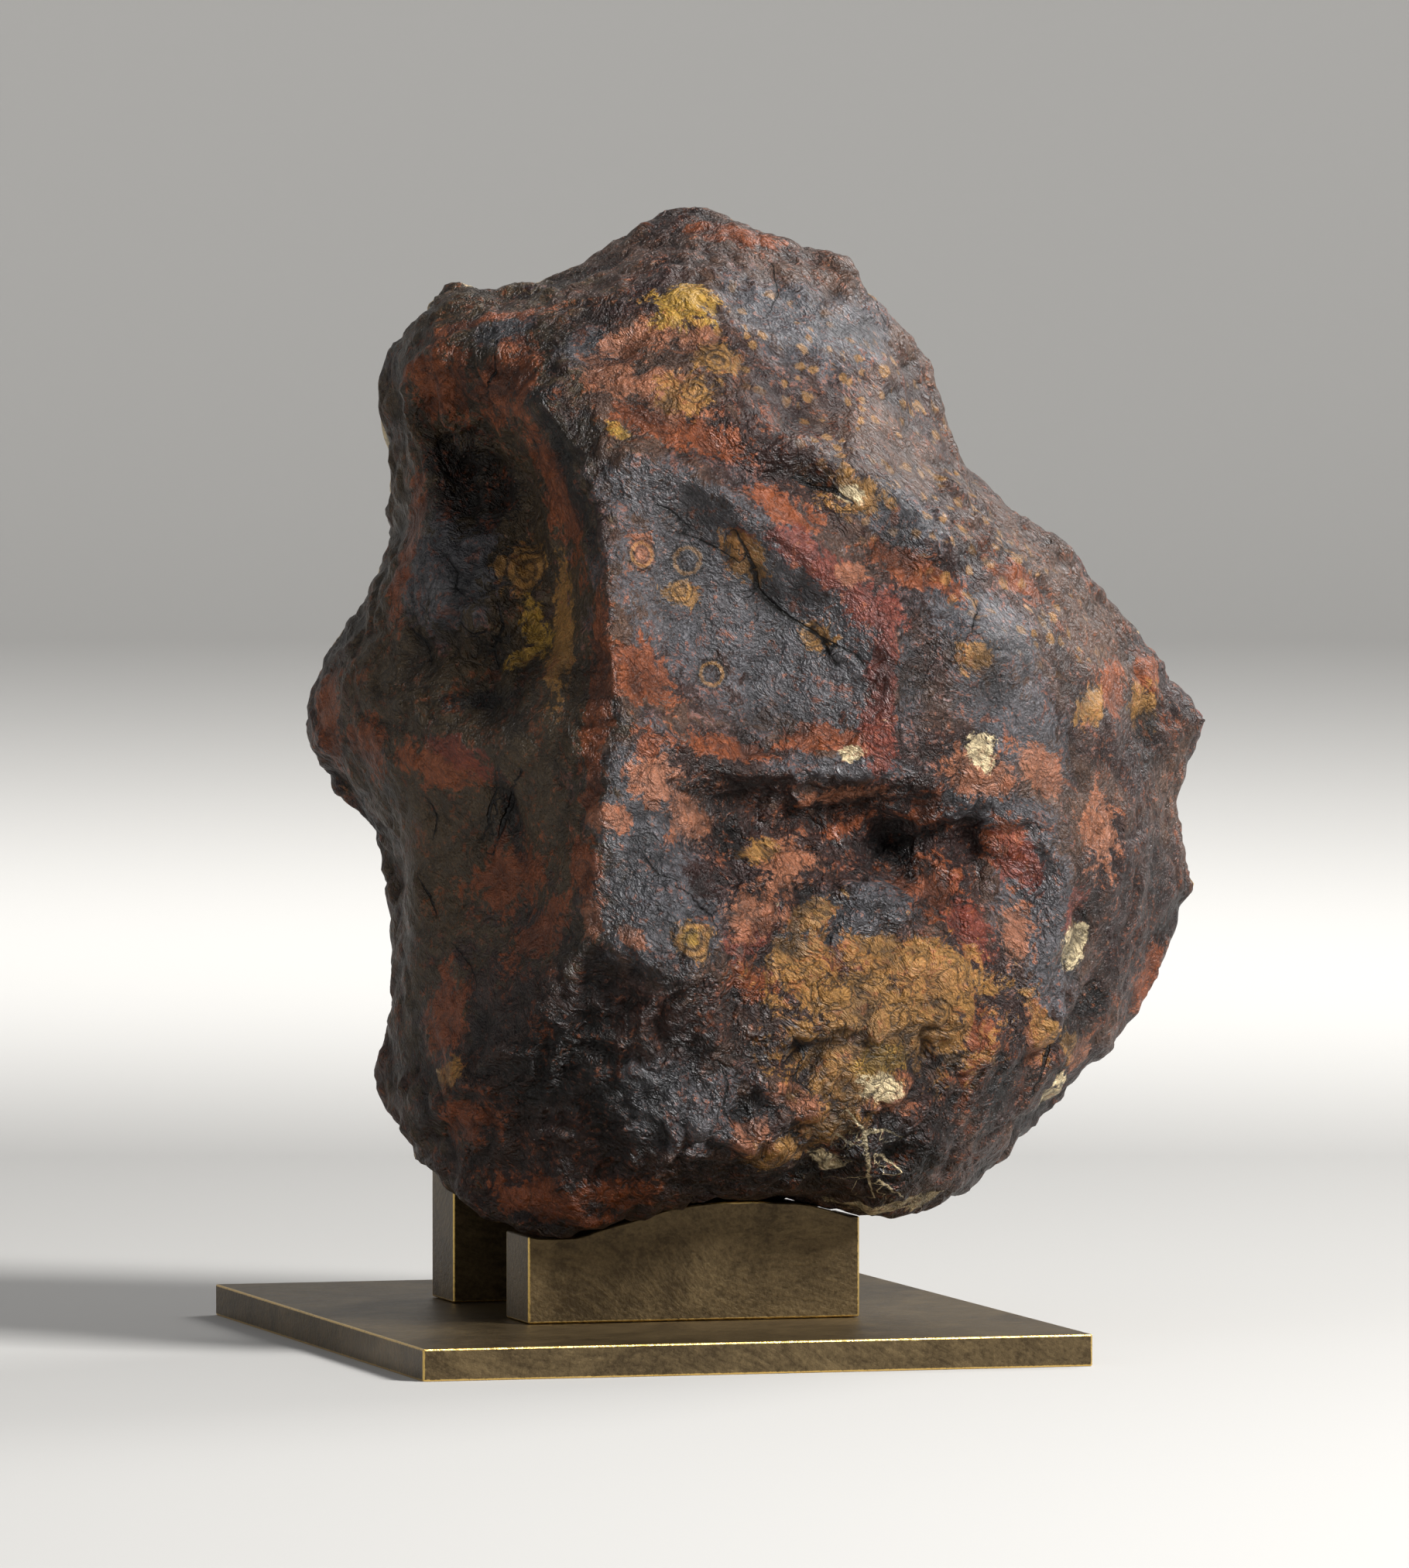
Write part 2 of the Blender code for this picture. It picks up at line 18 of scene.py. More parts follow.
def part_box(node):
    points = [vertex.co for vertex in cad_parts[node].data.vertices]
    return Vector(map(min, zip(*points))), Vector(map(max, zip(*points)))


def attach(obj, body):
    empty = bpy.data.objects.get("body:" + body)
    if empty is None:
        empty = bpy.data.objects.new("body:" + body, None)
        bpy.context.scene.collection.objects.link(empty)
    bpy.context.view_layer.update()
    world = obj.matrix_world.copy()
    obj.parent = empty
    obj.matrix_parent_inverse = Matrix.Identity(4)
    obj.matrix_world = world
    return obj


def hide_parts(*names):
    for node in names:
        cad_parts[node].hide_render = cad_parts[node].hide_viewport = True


bl_info = {
    "name": "Meteorite on its stand",
    "version": (1, 0, 0),
    "blender": (4, 5, 0),
    "location": "View3D > Sidebar > Meteorite",
    "description": "Dresses an iron meteorite and its bronze stand",
    "category": "Object",
}

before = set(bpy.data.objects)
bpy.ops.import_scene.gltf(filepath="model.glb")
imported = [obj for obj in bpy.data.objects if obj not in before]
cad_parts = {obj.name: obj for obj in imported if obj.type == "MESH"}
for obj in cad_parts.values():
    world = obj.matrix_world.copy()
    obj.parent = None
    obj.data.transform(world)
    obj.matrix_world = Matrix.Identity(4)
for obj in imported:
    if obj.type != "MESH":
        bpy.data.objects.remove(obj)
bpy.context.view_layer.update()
PLATE_LOW, PLATE_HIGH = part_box("base_plate")

MM = 0.001

# The patches are described on the side that is seen from the left of the plate's front. A place on it is
# (across, up) in millimetres, read where the line of sight crosses the upright plane through the plate's middle.
VIEW_TURN = math.radians(15.61)
VIEW_DIP = math.radians(2.43)
RIGHT = Vector((math.cos(VIEW_TURN), -math.sin(VIEW_TURN), 0.0))
AHEAD = Vector((math.sin(VIEW_TURN), math.cos(VIEW_TURN), 0.0))
UP = Vector((0.0, 0.0, 1.0))
EYE = Vector((-1.1412, -4.1514, 0.3498))
SENSOR = 36.0
LENS = 330.1

# The way that the stone's skin once ran as it melted: down to the right, as seen in that view
FLOW = RIGHT * 0.78 - UP * 0.62

# Patches of colour by the kind that they are, each with where it lies (across, up), its half length, its half
# width and the turn of its length from level
PATCHES = {
    "olive": [
        ((-60, 225), 42, 100, 0), ((-50, 120), 34, 75, 0), ((-30, 165), 24, 60, 0), ((-22, 220), 14, 55, 0),
        ((-66, 285), 24, 22, 0),
    ],
    "slate": [
        ((22, 226), 34, 26, -15), ((48, 205), 32, 24, -20), ((10, 252), 24, 10, -15), ((0, 150), 14, 34, 5),
        ((6, 124), 20, 14, 0), ((44, 306), 22, 16, -20), ((64, 304), 12, 18, -60), ((118, 130), 12, 30, 10),
        ((66, 96), 7, 13, 0), ((72, 130), 18, 7, 8), ((104, 160), 20, 6, -15), ((76, 247), 16, 8, -30),
        ((104, 214), 22, 12, -25), ((60, 172), 20, 4, 0), ((112, 186), 24, 12, -40), ((-60, 232), 18, 18, 0),
        ((60, 125), 22, 9, 20), ((12, 70), 13, 26, 80), ((-16, 296), 10, 8, 0), ((-42, 303), 9, 6, 0),
    ],
    # Partly painted shade: besides the darkest crust, these patches darken the hollow under the waist, the band
    # under the ledge and the plate's lower part, where shade falls
    "maroon_and_shade": [
        ((-30, 78), 44, 40, 30), ((0, 92), 24, 20, 0), ((-30, 50), 40, 22, 0), ((104, 96), 14, 36, 15),
        ((70, 58), 34, 20, 0), ((30, 172), 26, 12, -5), ((60, 150), 34, 16, 0), ((28, 150), 16, 20, 0),
        ((122, 62), 20, 16, 50), ((150, 130), 16, 30, 0), ((46, 262), 44, 10, -25), ((20, 200), 26, 12, 0),
    ],
    "rust": [
        ((-62, 288), 14, 13, 20), ((-45, 284), 12, 9, 60), ((-38, 290), 7, 14, 10), ((-95, 186), 8, 16, 5),
        ((-82, 178), 12, 9, 0), ((-62, 172), 18, 7, -10), ((-50, 306), 26, 3, 3), ((28, 332), 14, 5, -12),
        ((-52, 66), 12, 8, 25), ((-60, 96), 9, 16, 0), ((-30, 42), 18, 8, -10), ((-8, 44), 10, 6, 0),
        ((-18, 141), 6, 14, 10), ((-40, 140), 16, 10, 20), ((-14, 190), 5, 34, 0), ((-30, 124), 16, 7, 40),
        ((85, 158), 7, 8, 0), ((60, 158), 9, 6, 30), ((108, 150), 7, 9, 20), ((84, 137), 12, 9, -20),
        ((34, 108), 14, 6, 0), ((60, 114), 12, 5, -10), ((140, 196), 12, 7, 50), ((150, 200), 8, 8, 0),
        ((10, 273), 24, 6, -20), ((40, 250), 14, 5, -25), ((80, 232), 18, 5, -25), ((0, 178), 4, 8, 0),
        ((26, 178), 18, 4, -4), ((55, 180), 16, 5, 0), ((112, 228), 14, 5, -30), ((-2, 200), 10, 12, 60),
        ((150, 108), 8, 16, 20), ((100, 82), 7, 18, 10), ((-70, 240), 5, 26, 0), ((-26, 255), 7, 26, 25),
    ],
    "brick": [
        ((46, 238), 10, 5, -25), ((58, 230), 12, 5, -28), ((68, 220), 9, 6, -40), ((71, 200), 5, 14, 0),
        ((70, 180), 5, 10, 0), ((29, 240), 5, 5, 0), ((33, 121), 8, 6, 20), ((112, 144), 6, 10, 30),
        ((128, 128), 6, 8, 0), ((98, 122), 6, 12, 20), ((-56, 176), 12, 4, -20),
    ],
    "salmon": [
        ((43, 142), 11, 8, 45), ((33, 128), 10, 7, 20), ((33, 60), 7, 7, 0), ((71, 75), 10, 7, -35),
        ((-1, 236), 4, 6, 0), ((3, 168), 8, 9, 60), ((14, 158), 8, 9, 70), ((-10, 157), 4, 7, 80),
        ((-4, 122), 6, 3, -30), ((-16, 125), 3, 7, 0), ((-10, 290), 12, 7, -40), ((6, 284), 12, 8, -30),
        ((-4, 300), 12, 5, 25), ((14, 300), 9, 4, 10), ((118, 90), 4, 14, 25), ((130, 86), 5, 7, 40),
        ((100, 170), 10, 7, -30), ((118, 172), 10, 6, -50), ((46, 72), 9, 5, -30), ((136, 152), 8, 12, 10),
        ((62, 230), 5, 4, 0), ((112, 122), 5, 10, 0), ((88, 108), 12, 6, -15), ((60, 164), 12, 4, 0),
    ],
    "ochre": [
        ((74, 98), 32, 18, -5), ((82, 112), 26, 9, -8), ((60, 82), 20, 12, -20), ((90, 92), 11, 10, 0),
        ((46, 114), 14, 8, 10), ((56, 66), 10, 8, 0), ((-36, 231), 8, 9, 0), ((11, 224), 6, 4, -20),
        ((62, 254), 10, 6, -10), ((30, 236), 9, 6, -60), ((52, 212), 5, 4, -30), ((119, 94), 4, 12, 20),
        ((128, 88), 4, 6, 40), ((15, 120), 5, 6, 20), ((22, 294), 6, 7, 60), ((12, 284), 9, 7, 0),
        ((148, 190), 7, 8, 0), ((50, 128), 8, 4, 30), ((34, 147), 7, 4, 40), ((-24, 212), 5, 22, 10),
        ((134, 190), 8, 5, 40), ((40, 56), 10, 6, 0), ((-58, 80), 7, 4, 30), ((100, 206), 6, 5, 0),
    ],
    "cream": [
        ((128, 118), 4, 6, 15), ((131, 122), 3, 3, 0), ((101, 177), 5, 4, -50), ((121, 74), 3, 5, -30),
        ((124, 79), 3, 2, 0), ((70, 40), 11, 2, 0), ((61, 254), 4, 3, 0), ((71, 76), 6, 4, -30),
        ((84, 42), 5, 2, 30), ((54, 54), 5, 2.5, -30), ((62, 176), 3, 2, 0),
    ],
    "gold": [
        ((12, 311), 9, 8, 0), ((-32, 214), 4, 10, 15), ((-37, 205), 5, 3, 30), ((-8, 273), 4, 2, -30),
        ((14, 121), 3, 3, 0), ((72, 84), 8, 5, 0),
    ],
    # Painted shade: black patches laid in the deep hollows, pits and pockets under ledges, where shade falls
    "dark_mark_and_shade": [
        ((-52, 264), 13, 11, 0), ((-42, 250), 9, 10, -40), ((-22, 258), 4, 20, 25), ((-30, 284), 6, 4, 0),
        ((-50, 252), 12, 7, -20), ((74, 147), 8, 5, 75), ((82, 142), 6, 3, 0), ((60, 160), 10, 4, 20),
        ((134, 102), 6, 5, 30), ((52, 257), 9, 2, -20), ((-50, 192), 12, 3, 5), ((-40, 160), 3, 14, 15),
        ((76, 52), 14, 9, 0), ((150, 185), 5, 4, 50), ((48, 50), 8, 4, -20), ((25, 152), 5, 10, 0),
        ((131, 127), 3, 3, 0), ((30, 69), 4, 3, 0), ((-84, 156), 7, 9, 30), ((12, 166), 8, 2, -20),
        ((104, 75), 8, 14, 20), ((90, 84), 6, 3, 10), ((-14, 84), 6, 24, 5), ((-26, 84), 18, 14, 40),
    ],
}

# How rough the skin is, from smooth at 0 to craggy at 1, by area, with the rest of the stone in between
ROUGH_AREAS = {
    "plate": ((30, 222), 46, 40, -20, 0.3),
    "left flank": ((-48, 135), 40, 60, 0, 0.22),
    "prow's left wall": ((-22, 215), 12, 50, 0, 0.15),
    "eye boss": ((-55, 225), 24, 30, 0, 0.75),
    "upper field": ((60, 285), 44, 34, -35, 0.3),
    "right field": ((125, 195), 46, 40, -45, 0.35),
    "lower front": ((30, 80), 90, 44, 0, 1.0),
    "hollow under the waist": ((60, 145), 52, 26, 0, 1.0),
    "tongue": ((4, 140), 16, 34, 0, 0.55),
}

# Where small round orange blotches are strewn
SPECKLE_AREAS = {
    "upper field": ((76, 270), 36, 34, -50),
    "below the peak": ((40, 300), 26, 18, -20),
    "right shoulder": ((110, 226), 34, 18, -30),
}

# Round spots with a dark outline, each with its middle and its radius
RINGS = (
    ((13, 234), 5.2), ((11, 225), 3.6), ((-1, 236), 4.6), ((15, 285), 4.4), ((22, 294), 4.2), ((14.7, 120.3), 5.6),
    ((50, 212), 4.0), ((20, 200), 4.6), ((-35, 231), 6.6),
)

# Cracks, as the places along them and the widest half width in millimetres. They are dented into the skin and
# filled with black as painted shade.
CRACKS = {
    "main": (0.95, [
        (27, 243), (30, 238), (31, 235.5), (33, 231), (33.5, 225.5), (37, 221.5), (43, 217), (51.5, 212),
        (55, 207), (57.5, 203),
    ]),
    "main, branch": (0.45, [(51.5, 212), (59, 208), (63, 206), (67, 201)]),
    "upper left": (0.4, [(3, 251), (8, 249), (11, 246), (14, 243.5)]),
    "middle": (0.35, [(6, 243), (13, 241.5), (19.5, 239), (26, 235), (32, 231)]),
    "tongue": (0.45, [(-1, 148), (1, 144), (4, 140), (10, 138)]),
    "round the orange spot": (0.4, [(6, 137), (14, 134), (20, 128), (22, 121)]),
    "left groove": (1.1, [(-37, 171), (-40, 162), (-43, 154), (-46, 146)]),
    "left groove, second": (0.7, [(-44, 166), (-47, 158), (-49, 150)]),
    "left edge of the boss": (0.5, [(-44, 222), (-42, 214), (-46, 208), (-44, 202)]),
    "boss, low": (0.5, [(-56, 216), (-51, 212), (-47, 213), (-43, 209)]),
    "boss, left": (0.4, [(-70, 214), (-66, 210), (-64, 204)]),
    "boss, top": (0.35, [(-60, 236), (-56, 231), (-57, 226), (-52, 222)]),
    "under the ledge": (0.9, [(44, 259), (50, 256), (57, 255), (63, 251)]),
    "left shoulder": (0.6, [(-44, 300), (-45, 291), (-48, 282)]),
    "flank, low": (0.4, [(-68, 140), (-64, 133), (-62, 127)]),
    "flank, middle": (0.35, [(-58, 120), (-53, 114), (-50, 106)]),
    "flank, high": (0.4, [(-66, 164), (-62, 157), (-63, 150)]),
    "under the peak": (0.4, [(38, 322), (40, 314), (36, 306)]),
    "right field": (0.35, [(96, 226), (100, 220), (98, 214), (104, 208)]),
    "chin": (0.5, [(22, 84), (25, 77), (23, 70), (27, 64)]),
    "chin, right": (0.5, [(44, 92), (48, 86), (45, 79), (50, 74)]),
    "cleft": (0.8, [(128, 96), (122, 90), (119, 82), (115, 74)]),
}

# Pale thread-like veins, as cracks are given
VEINS = {
    "trunk": (0.8, [(61, 69), (66, 63), (67, 56), (67, 49), (69, 43)]),
    "left": (0.6, [(57, 62), (61, 59), (66, 58)]),
    "right": (0.6, [(66, 57), (72, 55), (77, 51)]),
    "low right": (0.5, [(67, 50), (73, 47), (78, 43)]),
    "high right": (0.5, [(67, 63), (73, 63), (78, 60)]),
    "rim": (0.6, [(56, 42), (64, 40), (74, 39), (84, 41)]),
}


def paint(red, green, blue):
    """A colour as the eye mixes it, from 0 to 255, in the scale that a shader works in."""
    return tuple((part / 255) ** 2.2 for part in (red, green, blue))


def colour_property(name, description, red, green, blue):
    return FloatVectorProperty(
        name=name,
        description=description,
        default=paint(red, green, blue),
        size=3,
        subtype="COLOR",
        min=0.0,
        max=1.0,
    )


def length_property(name, description, default):
    return FloatProperty(name=name, description=description, default=default, min=0.0, unit="LENGTH")


class StoneSettings(bpy.types.PropertyGroup):
    """The stone's relief and colours"""

    skin_step: length_property("Skin step", "Size of the skin's faces", 0.0018)
    lump_height: length_property("Lump height", "Height of the lumps a few centimetres apart", 0.0014)
    clot_height: length_property("Clot height", "Height of the clots about a centimetre apart", 0.0040)
    flake_height: length_property("Flake height", "Height of the flakes a few millimetres apart", 0.0020)
    wrinkle_height: length_property("Wrinkle height", "How much one step of the finest wrinkles rises", 0.001)
    brown: colour_property("Brown", "The crust where nothing else covers it", 84, 62, 50)
    olive: colour_property("Olive", "The duller crust of the left side", 70, 57, 38)
    # The darkest crust, also used as painted shade under the waist and the ledge
    slate: colour_property("Slate", "Bare grey iron oxide", 84, 84, 88)
    maroon_and_shade: colour_property("Maroon", "The darkest crust", 50, 33, 30)
    rust: colour_property("Rust", "Orange rust", 134, 70, 36)
    brick: colour_property("Brick", "Red rust", 122, 58, 44)
    salmon: colour_property("Salmon", "Pale pink-brown rust", 158, 102, 74)
    ochre: colour_property("Ochre", "Yellow-brown deposit", 158, 114, 58)
    cream: colour_property("Cream", "Pale lime deposit", 226, 204, 160)
    gold: colour_property("Gold", "Yellow stain", 178, 138, 58)
    # This black is painted shade in the pits, cracks and hollows, and also the dark outline of the round spots
    dark_mark_and_shade: colour_property("Soot", "Black in the pits and cracks", 20, 15, 12)


class StandSettings(bpy.types.PropertyGroup):
    """The bronze of the stand"""

    patina: colour_property("Patina", "The aged metal", 122, 104, 74)
    patina_dark: colour_property("Dark patina", "The darker blotches of the aged metal", 72, 60, 42)
    # Painted highlight: this bright gold is laid along every edge of the stand in place of the light that the edges
    # catch
    edge_highlight: colour_property("Worn metal", "Bare metal along the edges", 222, 186, 110)
    highlight_width: length_property("Worn width", "Width of the bright line along an edge", 0.0007)


class StageSettings(bpy.types.PropertyGroup):
    """The studio round the object"""

    floor: colour_property("Floor", "The floor and the round wall", 186, 184, 180)
    room_radius: length_property("Room radius", "Radius of the round studio", 9.0)
    key_power: FloatProperty(name="Key power", description="Power of the main light", default=95.0, unit="POWER")
    fill_power: FloatProperty(name="Fill power", description="Power of the fill light", default=6.0, unit="POWER")
    rim_power: FloatProperty(name="Rim power", description="Power of the light behind", default=20.0, unit="POWER")
    wall_power: FloatProperty(name="Wall power", description="Power on the wall", default=300.0, unit="POWER")


class Signal:
    """A socket of a material's nodes that can be used in sums."""

    def __init__(self, graph, socket):
        self.graph = graph
        self.socket = socket

    def maths(self, operation, *values):
        return self.graph.node("ShaderNodeMath", {"operation": operation}, dict(enumerate(values)))

    def __add__(self, other):
        return self.maths("ADD", self, other)

    def __sub__(self, other):
        return self.maths("SUBTRACT", self, other)

    def __mul__(self, other):
        return self.maths("MULTIPLY", self, other)

    def __truediv__(self, other):
        return self.maths("DIVIDE", self, other)

    def __pow__(self, other):
        return self.maths("POWER", self, other)

    def __neg__(self):
        return self.maths("MULTIPLY", self, -1.0)

    def __abs__(self):
        return self.maths("ABSOLUTE", self)

    def __radd__(self, other):
        return self.maths("ADD", other, self)

    def __rsub__(self, other):
        return self.maths("SUBTRACT", other, self)

    def __rmul__(self, other):
        return self.maths("MULTIPLY", other, self)

    def lower(self, other):
        return self.maths("MINIMUM", self, other)

    def higher(self, other):
        return self.maths("MAXIMUM", self, other)

    def rise(self, start, end):
        """From 0 below start to 1 above end, with soft corners."""
        settings = {"interpolation_type": "SMOOTHSTEP"}
        return self.graph.node("ShaderNodeMapRange", settings, {"Value": self, "From Min": start, "From Max": end})


class Finish:
    """A material, with the few kinds of node that the finishes here are made of."""

    def __init__(self, name):
        self.material = bpy.data.materials.new(name)
        self.material.use_nodes = True
        self.tree = self.material.node_tree
        self.surface = self.tree.nodes["Principled BSDF"]
        self.place = self.node("ShaderNodeTexCoord", {}, {}, "Object")

    def node(self, kind, settings, inputs, output=0):
        made = self.tree.nodes.new(kind)
        for name, value in settings.items():
            setattr(made, name, value)
        for name, value in inputs.items():
            self.feed(made.inputs[name], value)
        return Signal(self, made.outputs[output])

    def feed(self, socket, value):
        if isinstance(value, Signal):
            self.tree.links.new(value.socket, socket)
        elif socket.type == "RGBA":
            socket.default_value = (*value, 1.0)
        else:
            socket.default_value = value

    def set(self, **values):
        for name, value in values.items():
            self.feed(self.surface.inputs[name.replace("_", " ").title()], value)

    def attribute(self, name):
        return self.node("ShaderNodeAttribute", {"attribute_name": name}, {}, "Fac")

    def noise(self, size, detail=3.0, roughness=0.55, distortion=0.0, place=None, form="FBM"):
        """Cloudy noise whose clouds are about size metres across."""
        settings = {"noise_type": form, "normalize": form == "FBM"}
        inputs = {
            "Vector": place or self.place,
            "Scale": 1.0 / size,
            "Detail": detail,
            "Roughness": roughness,
            "Distortion": distortion,
        }
        return self.node("ShaderNodeTexNoise", settings, inputs, "Fac")

    def cells(self, size, place=None, feature="F1", output="Distance", randomness=1.0):
        inputs = {"Vector": place or self.place, "Scale": 1.0 / size, "Randomness": randomness}
        return self.node("ShaderNodeTexVoronoi", {"feature": feature}, inputs, output)

    def along(self, direction, stretch, place=None):
        """Coordinates that draw a pattern out along a direction."""
        turn = direction.to_track_quat("X", "Z").to_euler()
        inputs = {"Vector": place or self.place, "Rotation": tuple(turn), "Scale": (stretch, 1.0, 1.0)}
        return self.node("ShaderNodeMapping", {"vector_type": "TEXTURE"}, inputs)

    def warped(self, place, size, amount):
        """Coordinates pushed about by noise, so that a pattern's lines wander."""
        inputs = {"Vector": place, "Scale": 1.0 / size, "Detail": 2.0}
        push = self.node("ShaderNodeTexNoise", {}, inputs, "Color")
        centred = self.vector("SUBTRACT", push, (0.5, 0.5, 0.5))
        scaled = self.vector("MULTIPLY", centred, (amount, amount, amount))
        return self.vector("ADD", place, scaled)

    def vector(self, operation, first, second):
        return self.node("ShaderNodeVectorMath", {"operation": operation}, {0: first, 1: second})

    def mix(self, share, below, above, blend="MIX"):
        settings = {"data_type": "RGBA", "blend_type": blend, "clamp_factor": True}
        return self.node("ShaderNodeMix", settings, {0: share, 6: below, 7: above}, 2)

    def shade(self, colour, level):
        """A colour made darker or lighter by a number."""
        level_colour = self.node("ShaderNodeCombineColor", {}, {0: level, 1: level, 2: level})
        return self.mix(1.0, colour, level_colour, "MULTIPLY")

    def bump(self, height, distance, strength=1.0, normal=None):
        inputs = {"Height": height, "Distance": distance, "Strength": strength}
        if normal is not None:
            inputs["Normal"] = normal
        return self.node("ShaderNodeBump", {}, inputs, "Normal")


class Skin:
    """The stone's surface as arrays of places and normals, with ways to mark areas on it."""

    def __init__(self, mesh):
        self.mesh = mesh
        count = len(mesh.vertices)
        self.points = np.empty(count * 3, np.float32)
        self.normals = np.empty(count * 3, np.float32)
        mesh.vertices.foreach_get("co", self.points)
        mesh.vertices.foreach_get("normal", self.normals)
        self.points = self.points.reshape(-1, 3).astype(float)
        self.normals = self.normals.reshape(-1, 3).astype(float)
        faces = [face.vertices for face in mesh.polygons]
        self.tree = BVHTree.FromPolygons([vert.co for vert in mesh.vertices], faces)
        ends = np.empty(len(mesh.edges) * 2, np.int64)
        mesh.edges.foreach_get("vertices", ends)
        self.ends = ends.reshape(-1, 2)
        self.neighbours = np.bincount(self.ends.ravel(), minlength=count)

    def surface_at(self, place):
        """The point and the normal where the line of sight through a place meets the stone."""
        across, up = place
        middle = (RIGHT * across + UP * up) * MM
        point, normal, _, _ = self.tree.ray_cast(EYE, (middle - EYE).normalized())
        if point is None:
            point, normal, _, _ = self.tree.find_nearest(middle)
        return point, normal

    def patch(self, place, half_length, half_width, turn):
        """How deep inside a patch each point is: 1 at its middle, 0 on its outline, below 0 outside."""
        point, normal = self.surface_at(place)
        facing = (normal - AHEAD * 1.5).normalized()
        level = UP.cross(facing).normalized()
        steep = facing.cross(level)
        angle = math.radians(turn)
        along = level * math.cos(angle) + steep * math.sin(angle)
        over = facing.cross(along)
        offset = (self.points - np.array(point)) / MM
        a = offset @ np.array(along) / half_length
        b = offset @ np.array(over) / half_width
        c = offset @ np.array(facing) / (1.6 * max(half_length, half_width))
        return np.clip(1.0 - np.sqrt(a * a + b * b + c * c), -1.0, 1.0)

    def line(self, half_width, places):
        """How far each point is from a line over the surface, in half widths, with a sign for its side."""
        spots = [self.surface_at(place) for place in places]
        best = np.full(len(self.points), 99.0)
        total = len(spots) - 1
        for number, ((start, normal), (end, _)) in enumerate(zip(spots, spots[1:])):
            begin = np.array(start)
            run = np.array(end) - begin
            length = np.linalg.norm(run)
            along = run / length
            side = np.cross(np.array(normal), along)
            side /= np.linalg.norm(side)
            offset = self.points - begin
            share = offset @ along / length
            inside = np.clip(share, 0.0, 1.0)
            away = np.linalg.norm(offset - np.outer(inside, run), axis=1)
            progress = (number + inside) / total
            width = half_width * MM * (0.35 + 0.65 * np.sin(np.pi * np.clip(progress, 0.03, 0.97)))
            sign = np.where((offset @ side < 0) & (share > 0) & (share < 1), -1.0, 1.0)
            value = sign * away / width
            best = np.where(np.abs(value) < np.abs(best), value, best)
        return np.clip(best, -99.0, 99.0)

    def averaged(self, values, rounds):
        """Values blended with those of the neighbouring points."""
        for _ in range(rounds):
            total = np.zeros_like(values)
            np.add.at(total, self.ends[:, 0], values[self.ends[:, 1]])
            np.add.at(total, self.ends[:, 1], values[self.ends[:, 0]])
            count = self.neighbours if values.ndim == 1 else self.neighbours[:, None]
            values = 0.5 * values + 0.5 * total / count
        return values

    def crest(self, rounds):
        """Above 0 on ridges and below 0 in hollows, at a size set by the rounds of blending."""
        smooth = self.averaged(self.points, rounds)
        return np.einsum("ij,ij->i", self.points - smooth, self.normals)

    def field(self, patches):
        value = np.full(len(self.points), -1.0)
        for patch in patches:
            value = np.maximum(value, self.patch(*patch))
        return value

    def strewn(self, number):
        """Patches at random places, for the sides that the photograph doesn't show."""
        shift = Vector((number * 3.7, 0.0, 0.0))
        values = [noise.noise(Vector(point) / 0.032 + shift) for point in self.points]
        return np.clip(np.array(values) * 2.4 - 0.45, -1.0, 1.0)

    def rings(self, group):
        """How far each point is from the nearest ring's middle, where the ring itself is at 1."""
        value = np.full(len(self.points), 9.0)
        for place, radius in group:
            away = np.linalg.norm(self.points - np.array(self.surface_at(place)[0]), axis=1)
            value = np.minimum(value, away / (radius * MM))
        return value

    def lines(self, group):
        value = np.full(len(self.points), 99.0)
        for half_width, places in group.values():
            line = self.line(half_width, places)
            value = np.where(np.abs(line) < np.abs(value), line, value)
        return value

    def keep(self, name, values):
        layer = self.mesh.attributes.new(name, "FLOAT", "POINT")
        layer.data.foreach_set("value", values.astype(np.float32))


def skin_over(node, step):
    """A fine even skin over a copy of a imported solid."""
    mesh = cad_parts[node].data.copy()
    bm = bmesh.new()
    bm.from_mesh(mesh)
    bmesh.ops.remove_doubles(bm, verts=bm.verts, dist=1e-6)
    bmesh.ops.subdivide_edges(bm, edges=bm.edges, cuts=1, smooth=0.0)
    bmesh.ops.smooth_vert(bm, verts=bm.verts, factor=0.5)
    bm.to_mesh(mesh)
    bm.free()
    base = bpy.data.objects.new("base", mesh)
    bpy.context.scene.collection.objects.link(base)
    even = base.modifiers.new("even faces", "REMESH")
    even.mode = "VOXEL"
    even.voxel_size = step
    graph = bpy.context.evaluated_depsgraph_get()
    fine = bpy.data.meshes.new_from_object(base.evaluated_get(graph))
    fine.materials.clear()
    bpy.data.objects.remove(base)
    return fine


def rough_values(skin):
    """How craggy the skin is at each point."""
    values = np.full(len(skin.points), 0.6)
    for place, half_length, half_width, turn, rough in ROUGH_AREAS.values():
        inside = skin.patch(place, half_length, half_width, turn)
        share = np.clip(inside * 4.0, 0.0, 1.0)
        values += (rough - values) * share
    return skin.averaged(values, 6)


def relief(skin, rough, settings):
    """Moves the points out and in: lumps a few centimetres apart, then flakes a few millimetres apart."""
    heights = np.empty(len(skin.points))
    for number, (x, y, z) in enumerate(skin.points):
        place = Vector((x, y, z))
        craggy = rough[number]
        lump = noise.fractal(place / 0.024, 1.0, 2.0, 2)
        swirl = noise.noise_vector(place / 0.016) * 0.6
        clot = abs(noise.noise(place / 0.011 + swirl)) - 0.2
        flake = abs(noise.noise(place / 0.0055 + swirl * 2.0)) - 0.2
        heights[number] = settings.lump_height * lump * (0.35 + craggy)
        heights[number] += settings.clot_height * clot * (0.1 + craggy)
        heights[number] += settings.flake_height * flake * (0.2 + craggy)
    return heights


